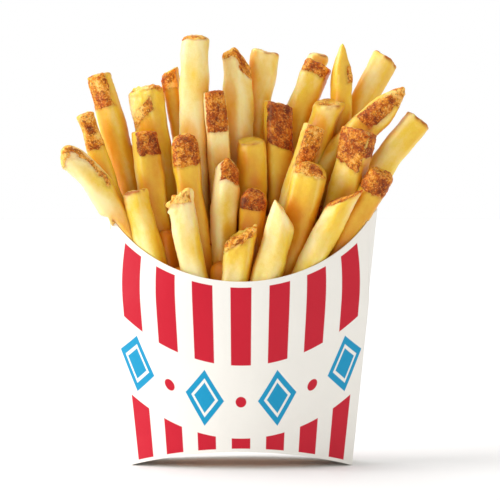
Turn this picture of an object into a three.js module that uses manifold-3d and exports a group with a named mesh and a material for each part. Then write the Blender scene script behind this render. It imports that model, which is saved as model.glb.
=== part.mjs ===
// A portion of french fries standing in its scoop-fronted paperboard carton.
// Millimetres, +Z up. The front of the carton looks along -Y, and the origin is on the floor,
// under the middle of the box round the whole portion.
import * as THREE from "three";
import { mergeVertices } from "three/addons/utils/BufferGeometryUtils.js";
import Module from "manifold-3d";

// Paperboard, and the room left between it and the fries and the packed core
const board = 0.5;
const clearance = 0.35;
const coreClearance = 0.7;

// Carton, seen from the front: it widens towards the top, and from seamHeight up
// the front and back panels end at a straight seam, where the side fold opens outwards.
const baseHalfWidth = 39.8;
const flare = 0.101;
const seamHeight = 59.4;
const panelHalfWidth = 45.8;
const cornerHeight = 91.6;

// Carton, seen from above: two bowed panels joined by narrow sides
const sideHalfDepth = 8.5;
const baseBow = 13;
const bowGain = 0.05;

// Edges: the scoop of the front rim is the bottom of an ellipse, the back panel has a low crown,
// and the floor is an arch that stands on its two ends.
const rimDip = 66.8;
const rimEllipse = { halfWidth: 52, halfHeight: 41 };
const backEdge = 93.8;
const backCrown = 9;
const floorRise = 6.2;
const panelSteps = 40;

// How full the carton is, at its front and at its back, where the fries are packed solid
const fillFront = 60.5;
const fillBack = 78.8;

// A fry is a stick with a square section and broken corners.
const cornerCut = 0.17;
const axisSteps = 5;

// Faces of the joined heap finer than this are smoothed away
const finest = 0.03;

// The ends of a fry: how far below the tip a section lies, and how large it is there
const ends = {
  cut: [[1.3, 1], [0, 0.84]],
  dome: [[2.6, 1], [0.8, 0.82], [0, 0.5]],
  round: [[5, 1], [1.8, 0.8], [0, 0.42]],
  point: [[14, 1], [6, 0.66], [0, 0.14]],
};

// The fries, by rows from the front panel to the back one. A fry's axis runs from its foot, down in
// the carton, to its tip, and bends towards via where it has one. size is how wide the stick is across
// the front view and how deep along it, before it is turned about its axis, in degrees. Its end is a
// plain cut if not named. slant raises the end by so much for each millimetre across and deep, and
// crest lowers it to both sides of its middle.
const fries = [
  // Standing against the front panel, left to right
  {
    tip: [-64, -13, 110.6], via: [-50, -13, 110], foot: [-33.5, -6, 58], size: [9, 8.4], turn: 10,
    end: "dome",
  },
  { tip: [-37.6, -12, 98.6], foot: [-27, -12.5, 57.8], size: [8.4, 8], turn: -30, slant: [0.2, 0] },
  { tip: [-22.2, -17, 96.8], foot: [-14, -16.5, 57.8], size: [8.8, 8.4], turn: -18, slant: [0.45, -0.2] },
  { tip: [0.4, -18.2, 83.2], foot: [-3.2, -17.6, 57.8], size: [9.8, 8.4], turn: -14, slant: [0.8, 0.2] },
  { tip: [15.2, -17.6, 91.2], foot: [5.7, -17.4, 57.8], size: [9.8, 8.8], turn: -22, slant: [-0.87, 0] },
  { tip: [37.2, -15, 96.7], foot: [17.3, -15, 57.8], size: [8.6, 8.4], turn: -38, slant: [1.15, 0] },
  { tip: [50.4, -9, 105.1], foot: [25.8, -8.5, 58.8], size: [8.4, 8], turn: 18, slant: [0, 0.3] },

  // Second row
  { tip: [-55.5, -2.5, 126], foot: [-35.2, 0, 58.8], size: [6.6, 7.4], turn: 5 },
  { tip: [-34.8, -4, 119.4], foot: [-25.2, -3, 58.8], size: [8.8, 8.2], turn: 15, slant: [0.1, 0] },
  { tip: [-21.1, -6.5, 118.6], foot: [-12.5, -6.5, 58.8], size: [9.6, 9], turn: 12, end: "round" },
  { tip: [-4.6, -8.6, 109.9], foot: [-7.2, -7, 58.8], size: [8, 8], turn: 34, slant: [-0.1, 0], crest: 0.85 },
  { tip: [5.2, -9.3, 99], foot: [2.1, -8, 58.8], size: [9, 8], turn: 0, end: "round" },
  { tip: [25.2, -12, 108.4], foot: [13.5, -7.5, 58.8], size: [11.2, 9.6], turn: -10, end: "round" },
  { tip: [26.8, -2.5, 121.4], foot: [11.5, -3, 76.8], size: [7.2, 7.2], turn: 15 },
  { tip: [43.2, -4, 120], foot: [27.5, -1, 58.8], size: [11.8, 9.4], turn: -31 },

  // Third row
  { tip: [-51.2, 8, 140.2], foot: [-31, 5, 58.8], size: [8.9, 8.5], turn: -25 },
  { tip: [-34.9, 5.5, 135.8], foot: [-23.5, 7, 58.8], size: [11, 10.2], turn: -35, end: "dome" },
  { tip: [-16.9, 4, 153.9], foot: [-16, 4.5, 58.8], size: [9.8, 9], turn: -8, end: "dome" },
  { tip: [-10.3, 0, 134], foot: [-3, 2, 58.8], size: [7.6, 7.6], turn: 8 },
  { tip: [3.3, 1.5, 116.6], foot: [4.3, 2, 58.8], size: [9.4, 9], turn: 25, slant: [0, 0.35] },
  { tip: [13.7, 6, 129.6], foot: [14.5, 7.5, 58.8], size: [9.4, 8.6], turn: 12, slant: [-0.25, 0] },
  {
    tip: [32.2, 7.5, 129.8], via: [22.5, 7, 101.8], foot: [20, 5, 64.8], size: [9.8, 9.4], turn: -25,
    slant: [0.3, 0.35],
  },
  { tip: [58.8, 5.5, 135.6], foot: [27, 5.5, 103.3], size: [9.8, 9.2], turn: 20, end: "point" },
  { tip: [64, 6, 124.3], via: [44, 5.5, 100.8], foot: [35, 4, 76.8], size: [9.2, 8.8], turn: 10 },

  // Leaning on the back panel
  { tip: [-25.5, 12.5, 141.6], foot: [-14.5, 13, 60.8], size: [6, 7.6], turn: -10, slant: [0.45, 0] },
  {
    tip: [-2.6, 9.5, 149.1], via: [-0.2, 10, 119.8], foot: [2.2, 10.5, 58.8], size: [8.8, 8.4], turn: -38,
    slant: [-0.59, 0.2], crest: 1.05,
  },
  { tip: [8.9, 17, 148.7], via: [3.2, 17.5, 118.8], foot: [0.5, 17.5, 60.8], size: [8.6, 8.4], turn: -12 },
  { tip: [28.8, 16, 143.9], via: [14.5, 15.5, 117.8], foot: [14, 14.5, 90.8], size: [9.6, 9], turn: -10 },
  {
    tip: [28.4, 24, 148], via: [20, 20.5, 120.8], foot: [18, 16, 82.8], size: [7.6, 7.6], turn: 10,
    end: "dome",
  },
  { tip: [37.1, 14, 151.1], foot: [34.8, 12.5, 106.8], size: [7.4, 7.2], turn: 25, end: "point" },
  { tip: [52.6, 22, 146.2], foot: [20, 9.5, 78.8], size: [8.8, 8.6], turn: -25, slant: [-0.2, 0] },
  { tip: [-37, 12.5, 114.8], foot: [-27, 9, 60.8], size: [8.4, 8.2], turn: 20 },
  { tip: [-28, 15.5, 109.8], foot: [-21.5, 11, 60.8], size: [8, 7.8], turn: -15, end: "round" },
  { tip: [-12, 22, 116.8], foot: [-8.5, 17, 60.8], size: [8.4, 8.6], turn: 8 },
  { tip: [9.5, 22, 108.8], foot: [8, 18.5, 60.8], size: [8.6, 7.8], turn: -20, slant: [0.5, 0] },
  { tip: [-9, 10, 120.8], foot: [-6.5, 9.5, 60.8], size: [8, 7.8], turn: 30 },
];

const wasm = await Module();
wasm.setup();

// Points and triangles gathered into one closed geometry
class Skin {
  constructor() {
    this.points = [];
    this.faces = [];
  }

  point(place) {
    this.points.push(...place);
    return this.points.length / 3 - 1;
  }

  ring(places) {
    return places.map((place) => this.point(place));
  }

  quad(a, b, c, d) {
    this.faces.push(a, b, c, a, c, d);
  }

  // The band between two rings that both run anticlockwise seen from above, facing outwards
  band(lower, upper) {
    lower.forEach((corner, i) => {
      const next = (i + 1) % lower.length;
      this.quad(corner, lower[next], upper[next], upper[i]);
    });
  }

  geometry() {
    const made = new THREE.BufferGeometry();
    made.setAttribute("position", new THREE.Float32BufferAttribute(this.points, 3));
    made.setIndex(this.faces);
    return made;
  }
}

// Geometry to a solid for joining and cutting, and back
function toSolid(geometry) {
  const bare = geometry.clone();
  bare.deleteAttribute("normal");
  bare.deleteAttribute("uv");
  const merged = mergeVertices(bare, 1e-4);
  return new wasm.Manifold(new wasm.Mesh({
    numProp: 3,
    vertProperties: Float32Array.from(merged.attributes.position.array),
    triVerts: Uint32Array.from(merged.index.array),
  }));
}

function toGeometry(solid) {
  const mesh = solid.getMesh();
  const made = new THREE.BufferGeometry();
  made.setAttribute("position", new THREE.BufferAttribute(Float32Array.from(mesh.vertProperties), 3));
  made.setIndex(new THREE.BufferAttribute(Uint32Array.from(mesh.triVerts), 1));
  return made;
}

// Half the carton's width at its side folds, and at the edge of its panels
const foldHalfWidth = (z) => baseHalfWidth + flare * z;
const edgeHalfWidth = (z) => Math.min(foldHalfWidth(z), panelHalfWidth);
const bow = (z) => baseBow + bowGain * z;

// Height of the scooped front rim and of the crowned back edge
const frontRim = (x) => {
  const share = Math.min(Math.abs(x) / rimEllipse.halfWidth, 1);
  return rimDip + rimEllipse.halfHeight * (1 - Math.sqrt(1 - share * share));
};
const backRim = (share) => backEdge + backCrown * (1 - share * share);

// The height at which a station of the front panel, a fixed share of the width, meets the rim
function frontTop(share) {
  let height = rimDip;
  for (let round = 0; round < 8; round++) {
    height = frontRim(share * edgeHalfWidth(height));
  }
  return height;
}

// The stations round the carton, anticlockwise seen from above: the front panel from left to right,
// the right fold, the back panel, the left fold. Each gives its place in plan at a height.
function cartonStations() {
  const shares = Array.from({ length: panelSteps + 1 }, (_, i) => 2 * i / panelSteps - 1);
  const panel = (share, side, top) => ({
    plan: (z) => [share * edgeHalfWidth(z), side * (sideHalfDepth + bow(z) * (1 - share * share))],
    bottom: floorRise * (1 - share * share),
    top,
  });
  const fold = (side) => ({ plan: (z) => [side * foldHalfWidth(z), 0], bottom: 0, top: cornerHeight });
  return [
    ...shares.map((share) => panel(share, -1, frontTop(share))),
    fold(1),
    ...shares.toReversed().map((share) => panel(share, 1, backRim(share))),
    fold(-1),
  ];
}

const stations = cartonStations();

// The stations' ring at three levels, moved inwards in plan by inset (outwards where it is negative)
function cartonRings(inset, lift, topOf) {
  const levels = [
    (s) => s.bottom + lift,
    () => seamHeight,
    topOf,
  ];
  return levels.map((level) => {
    const plans = stations.map((s) => s.plan(level(s)));
    return stations.map((s, i) => {
      const before = plans.at(i - 1);
      const here = plans[i];
      const after = plans[(i + 1) % plans.length];
      const first = new THREE.Vector2(here[1] - before[1], before[0] - here[0]).normalize();
      const second = new THREE.Vector2(after[1] - here[1], here[0] - after[0]).normalize();
      const out = first.clone().add(second).divideScalar(1 + first.dot(second));
      return [here[0] - inset * out.x, here[1] - inset * out.y, level(s)];
    });
  });
}

// A lens-shaped sheet across one ring, ruled from the front panel to the back one
function lensSheet(skin, ring, facingUp) {
  const front = ring.slice(0, panelSteps + 1);
  const back = ring.slice(panelSteps + 2, 2 * panelSteps + 3).toReversed();
  const right = ring[panelSteps + 1];
  const left = ring[2 * panelSteps + 3];
  const corners = [];
  for (let i = 0; i < panelSteps; i++) {
    corners.push([front[i], front[i + 1], back[i + 1]], [front[i], back[i + 1], back[i]]);
  }
  corners.push([front[panelSteps], right, back[panelSteps]], [front[0], back[0], left]);
  for (const [a, b, c] of corners) {
    skin.faces.push(...(facingUp ? [a, b, c] : [a, c, b]));
  }
}

// The carton's board, grown on all sides by so much
function cartonShell(grown) {
  const skin = new Skin();
  const topOf = (s) => s.top + grown;
  const outer = cartonRings(-grown, -grown, topOf).map((places) => skin.ring(places));
  const inner = cartonRings(board + grown, board + grown, topOf).map((places) => skin.ring(places));
  skin.band(outer[0], outer[1]);
  skin.band(outer[1], outer[2]);
  skin.band(outer[2], inner[2]);
  skin.band(inner[2], inner[1]);
  skin.band(inner[1], inner[0]);
  lensSheet(skin, outer[0], false);
  lensSheet(skin, inner[0], true);
  return skin.geometry();
}

// The packed lower part of the heap: the carton's inside, up to a surface that rises to the back
function heapCore() {
  const skin = new Skin();
  const inset = board + coreClearance;
  const fillOf = (s) => {
    const across = s.plan(fillFront)[1] / (sideHalfDepth + bow(fillFront));
    return THREE.MathUtils.mapLinear(across, -1, 1, fillFront, fillBack);
  };
  const rings = cartonRings(inset, inset, fillOf).map((places) => skin.ring(places));
  skin.band(rings[0], rings[1]);
  skin.band(rings[1], rings[2]);
  lensSheet(skin, rings[0], false);
  lensSheet(skin, rings[2], true);
  return skin.geometry();
}

// The section of a stick: a rectangle with its corners cut off
function fryOutline(wide, deep) {
  const cut = cornerCut * Math.min(wide, deep);
  const [w, d] = [wide / 2, deep / 2];
  return [
    [-w + cut, -d], [w - cut, -d], [w, -d + cut], [w, d - cut],
    [w - cut, d], [-w + cut, d], [-w, d - cut], [-w, -d + cut],
  ];
}

// One fry: its section carried along its axis, closed at both ends
function fryGeometry(fry) {
  const { tip, via, foot, size: [wide, deep], turn, end = "cut", slant = [0, 0], crest = 0 } = fry;
  const start = new THREE.Vector3(...foot);
  const stop = new THREE.Vector3(...tip);
  const pull = via ? new THREE.Vector3(...via) : start.clone().lerp(stop, 0.5);
  const axis = new THREE.QuadraticBezierCurve3(start, pull, stop);
  const length = axis.getLength();
  const straight = Array.from({ length: axisSteps }, (_, i) => [length * (1 - i / axisSteps), 1]);
  const endSections = ends[end];
  const sections = [...straight.filter(([below]) => below > endSections[0][0] + 1), ...endSections];

  const skin = new Skin();
  const angle = THREE.MathUtils.degToRad(turn);
  const rings = sections.map(([below, scale]) => {
    const share = 1 - below / length;
    const centre = axis.getPointAt(share);
    const along = axis.getTangentAt(share);
    const across = new THREE.Vector3(1, 0, 0).addScaledVector(along, -along.x).normalize();
    const back = along.clone().cross(across);
    const nearTip = below <= endSections[0][0] ? 1 : 0;
    return skin.ring(fryOutline(wide * scale, deep * scale).map(([u, v]) => {
      const a = u * Math.cos(angle) - v * Math.sin(angle);
      const d = u * Math.sin(angle) + v * Math.cos(angle);
      const raise = nearTip * (slant[0] * a + slant[1] * d - crest * Math.abs(a));
      return centre.clone().addScaledVector(across, a).addScaledVector(back, d)
        .addScaledVector(along, raise).toArray();
    }));
  });
  for (let i = 0; i + 1 < rings.length; i++) {
    skin.band(rings[i], rings[i + 1]);
  }
  const bottom = rings[0];
  const top = rings.at(-1);
  for (let i = 1; i + 1 < top.length; i++) {
    skin.faces.push(top[0], top[i], top[i + 1]);
    skin.faces.push(bottom[0], bottom[i + 1], bottom[i]);
  }
  return skin.geometry();
}

// The heap: all sticks joined to the core, kept clear of the board, without loose scraps
function heapGeometry() {
  const sticks = fries.map((fry) => toSolid(fryGeometry(fry)));
  const joined = wasm.Manifold.union([toSolid(heapCore()), ...sticks]);
  const clear = joined.subtract(toSolid(cartonShell(clearance))).simplify(finest);
  const bodies = clear.decompose().sort((a, b) => b.volume() - a.volume());
  return toGeometry(bodies[0]);
}

function namedMesh(name, geometry, colour, roughness) {
  const material = new THREE.MeshStandardMaterial({ color: colour, roughness, metalness: 0 });
  const mesh = new THREE.Mesh(geometry, material);
  mesh.name = name;
  return mesh;
}

const portion = new THREE.Group();
portion.add(namedMesh("carton", cartonShell(0), 0xf3f1ec, 0.55));
portion.add(namedMesh("fries", heapGeometry(), 0xe9bd52, 0.45));

// Set the middle of the whole box over the origin
const whole = new THREE.Box3().setFromObject(portion);
const middle = whole.getCenter(new THREE.Vector3());
for (const mesh of portion.children) {
  mesh.position.set(-middle.x, -middle.y, 0);
}

export default portion;
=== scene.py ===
"""Skin-on french fries standing in a scoop-fronted paper carton.

Shapes are worked out in millimetres about the carton's own middle, +Z up, with the front along -Y,
and MM and HOME bring them into the scene's metres and the frame's place.
"""

import math

import bpy
import numpy as np
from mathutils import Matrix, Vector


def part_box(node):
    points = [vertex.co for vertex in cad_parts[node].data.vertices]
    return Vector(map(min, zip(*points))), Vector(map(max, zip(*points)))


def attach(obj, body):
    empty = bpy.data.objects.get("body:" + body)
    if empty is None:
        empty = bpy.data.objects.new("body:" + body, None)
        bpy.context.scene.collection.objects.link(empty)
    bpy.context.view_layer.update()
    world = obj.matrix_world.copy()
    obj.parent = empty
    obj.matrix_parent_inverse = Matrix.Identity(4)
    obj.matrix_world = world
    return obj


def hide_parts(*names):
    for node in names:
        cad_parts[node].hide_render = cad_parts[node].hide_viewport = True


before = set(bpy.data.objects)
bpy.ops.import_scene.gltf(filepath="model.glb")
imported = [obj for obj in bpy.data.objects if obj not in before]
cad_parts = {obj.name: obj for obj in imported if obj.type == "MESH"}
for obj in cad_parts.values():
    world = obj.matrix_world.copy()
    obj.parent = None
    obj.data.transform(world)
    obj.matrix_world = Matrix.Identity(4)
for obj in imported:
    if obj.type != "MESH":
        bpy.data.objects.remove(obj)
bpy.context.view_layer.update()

MM = 0.001

# Carton: width at its side folds, edge of its panels, depth, and heights of its edges
BASE_HALF_WIDTH = 39.8
FLARE = 0.101
SEAM_HEIGHT = 59.4
PANEL_HALF_WIDTH = 45.8
CORNER_HEIGHT = 91.6
SIDE_HALF_DEPTH = 8.5
BASE_BOW = 13.0
BOW_GAIN = 0.05
RIM_DIP = 66.8
RIM_HALF_WIDTH = 52.0
RIM_HALF_HEIGHT = 41.0
BACK_EDGE = 93.8
BACK_CROWN = 9.0
FLOOR_RISE = 6.2
BOARD = 0.5

# The carton's middle in the frame: its front panel bulges furthest at the lowest point of the scoop
FRONT_REACH = SIDE_HALF_DEPTH + BASE_BOW + BOW_GAIN * RIM_DIP
CARTON_LOW, CARTON_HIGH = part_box("carton")
HOME = np.array([(CARTON_LOW.x + CARTON_HIGH.x) / 2 / MM, CARTON_LOW.y / MM + FRONT_REACH, 0.0])


def half_width_at_fold(z):
    """Half the carton's width at its side folds: it grows evenly with height."""
    return BASE_HALF_WIDTH + FLARE * z


def half_width_at_edge(z):
    """Half the width of the panels: as wide as the folds, up to a fixed width."""
    return np.minimum(half_width_at_fold(z), PANEL_HALF_WIDTH)


def half_depth(share, z):
    """How far a panel stands from the middle: the side's half depth plus a bow of 1 - share^2."""
    return SIDE_HALF_DEPTH + (BASE_BOW + BOW_GAIN * z) * (1 - share**2)


def scoop(x):
    """Height of the front rim: the lower arc of an ellipse over its lowest point."""
    share = np.minimum(np.abs(x) / RIM_HALF_WIDTH, 1)
    return RIM_DIP + RIM_HALF_HEIGHT * (1 - np.sqrt(1 - share**2))


WAVE_TURNS = (0.6, 1.7)
WAVES = 20


def ripple(points, wavelength, seed):
    """Smooth noise of about unit height: a sum of sines of k . p + phase, with k in random directions
    and a random number of turns for each wavelength."""
    draw = np.random.default_rng(seed)
    ways = unit(draw.normal(size=(WAVES, 3)))
    turns = 2 * np.pi / wavelength * draw.uniform(*WAVE_TURNS, size=(WAVES, 1))
    phases = draw.uniform(0, 2 * np.pi, size=WAVES)
    return np.sin(points @ (ways * turns).T + phases).sum(axis=-1) * math.sqrt(2 / WAVES)


def arch(share):
    """Height of the carton's foot over the table: an arch of 1 - share^2."""
    return FLOOR_RISE * (1 - share**2)


def crown(share):
    """Height of the back panel's upper edge: a low crown of 1 - share^2."""
    return BACK_EDGE + BACK_CROWN * (1 - share**2)


def ramp(value, low, high):
    """0 below low, 1 above high, and the smooth step 3t^2 - 2t^3 between them."""
    t = np.clip((value - low) / (high - low), 0, 1)
    return t * t * (3 - 2 * t)


def unit(vectors):
    """The vectors at length 1."""
    return vectors / np.maximum(np.linalg.norm(vectors, axis=-1, keepdims=True), 1e-9)


def in_scene(name, data):
    """A new object of the scene, with its mesh, light or camera."""
    made = bpy.data.objects.new(name, data)
    bpy.context.scene.collection.objects.link(made)
    return made


class Shell:
    """Points, faces and point attributes of several surfaces, gathered for one mesh."""

    def __init__(self):
        self.points, self.quads, self.triangles = [], [], []
        self.quad_materials, self.triangle_materials = [], []
        self.values = {}
        self.count = 0

    def add(self, points, quads, triangles, values, material=0):
        """Adds a surface: its points, its faces as numbers of points, and each attribute's values."""
        self.points.append(points)
        self.quads.append(quads + self.count)
        self.triangles.append(triangles + self.count)
        self.quad_materials.append(np.full(len(quads), material))
        self.triangle_materials.append(np.full(len(triangles), material))
        for name, value in values.items():
            self.values.setdefault(name, []).append(value)
        self.count += len(points)

    def add_tube(self, grid, values):
        """Adds a closed tube: rings of points with the top one first. A fan closes each end to a point
        in its middle, which gets the mean of the ring's values."""
        rings, columns = grid.shape[:2]

        def with_middles(value):
            flat = value.reshape(rings * columns, -1)
            middles = np.stack([flat[:columns].mean(axis=0), flat[-columns:].mean(axis=0)])
            joined = np.concatenate([flat, middles])
            return joined if joined.shape[1] > 1 else joined[:, 0]

        column = np.arange(columns)
        after = (column + 1) % columns
        low = (rings - 1) * columns
        top_fan = np.stack([np.full(columns, rings * columns), column, after], axis=-1)
        low_fan = np.stack([np.full(columns, rings * columns + 1), low + after, low + column], axis=-1)
        faces = grid_quads(rings, columns, True), np.concatenate([top_fan, low_fan])
        self.add(with_middles(grid), *faces, {name: with_middles(value) for name, value in values.items()})

    def mesh_object(self, name):
        """The gathered surfaces as one smooth object, in metres, in the frame's place."""
        points = (np.concatenate(self.points) + HOME) * MM
        quads = np.concatenate(self.quads)
        triangles = np.concatenate(self.triangles)
        corners = np.concatenate([quads.ravel(), triangles.ravel()]).astype(np.int32)
        sizes = np.repeat([4, 3], [len(quads), len(triangles)])
        starts = (np.cumsum(sizes) - sizes).astype(np.int32)
        mesh = bpy.data.meshes.new(name)
        mesh.vertices.add(len(points))
        mesh.vertices.foreach_set("co", points.astype(np.float32).ravel())
        mesh.loops.add(len(corners))
        mesh.loops.foreach_set("vertex_index", corners)
        mesh.polygons.add(len(starts))
        mesh.polygons.foreach_set("loop_start", starts)
        mesh.update(calc_edges=True)
        mesh.polygons.foreach_set("use_smooth", np.ones(len(starts), dtype=bool))
        materials = np.concatenate(self.quad_materials + self.triangle_materials)
        mesh.polygons.foreach_set("material_index", materials.astype(np.int32))
        for label, parts in self.values.items():
            value = np.concatenate(parts).astype(np.float32)
            kind, field = ("FLOAT_VECTOR", "vector") if value.ndim == 2 else ("FLOAT", "value")
            mesh.attributes.new(label, kind, "POINT").data.foreach_set(field, value.ravel())
        return in_scene(name, mesh)


def grid_quads(rows, columns, closed):
    """Quads of a grid of points numbered row by row. If closed, its last column meets the first."""
    last = columns if closed else columns - 1
    row, column = np.meshgrid(np.arange(rows - 1), np.arange(last), indexing="ij")
    after = (column + 1) % columns
    return np.stack([
        row * columns + column,
        (row + 1) * columns + column,
        (row + 1) * columns + after,
        row * columns + after,
    ], axis=-1).reshape(-1, 4)


# The ends of a fry are quarters of a superellipse: how far the rounding reaches down the stick, and
# its power. A high power gives a flat cut with a rounded edge, a low one a point.
ENDS = {
    "cut": (1.5, 4.2),
    "dome": (3.0, 2.7),
    "round": (5.5, 2.4),
    "point": (14.0, 1.45),
}
END_RINGS = 16
FACES = ("front", "right", "back", "left")
CAP = -9  # a patch of skin that starts here covers the end of the fry as well


def patch(top, bottom, wide=0.94, skew=0.0, shift=0.0, roast=None, face="front"):
    """A place where the skin was left on: where it starts and ends below the tip, what share of its face
    it takes, how far its ends slope for each millimetre across, how far it lies off the face's middle,
    how dark it is where that differs from the fry's other skin, and its face."""
    return {
        "top": top, "bottom": bottom, "wide": wide, "skew": skew, "shift": shift, "roast": roast,
        "face": face,
    }


# What a fry is like where its own entry says nothing else
PLAIN_FRY = {
    "via": None,  # a point that bends its axis
    "end": "cut",  # one of ENDS
    "slant": (0, 0),  # how much its end rises for each millimetre across and deep
    "crest": 0.0,  # how much its end falls away to both sides
    "tone": 0.4,  # from pale to golden
    "roast": 0.6,  # how dark its skin is
    "toast": 0.35,  # how brown the rim of its end is
    "flare": 0.0,  # how much wider it gets at its tip
    "torn": 0.0,  # how ragged its end is
    "corner": 2.6,  # the power of its section
    "over": 0.0,  # how far it hangs down over the carton's corner
    "deep": 0.0,  # how much painted shade of the heap's inside it gets
    "deep_from": -20.0,  # how far below its tip that painted shade starts
}


def fry(tip, foot, size, turn, *skin, **own):
    """One fry: where its axis ends and starts, its width and depth, its turn about its axis in degrees,
    its patches of skin, and what sets it apart from a plain one."""
    return {**PLAIN_FRY, "tip": tip, "foot": foot, "size": size, "turn": turn, "skin": skin, **own}


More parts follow.
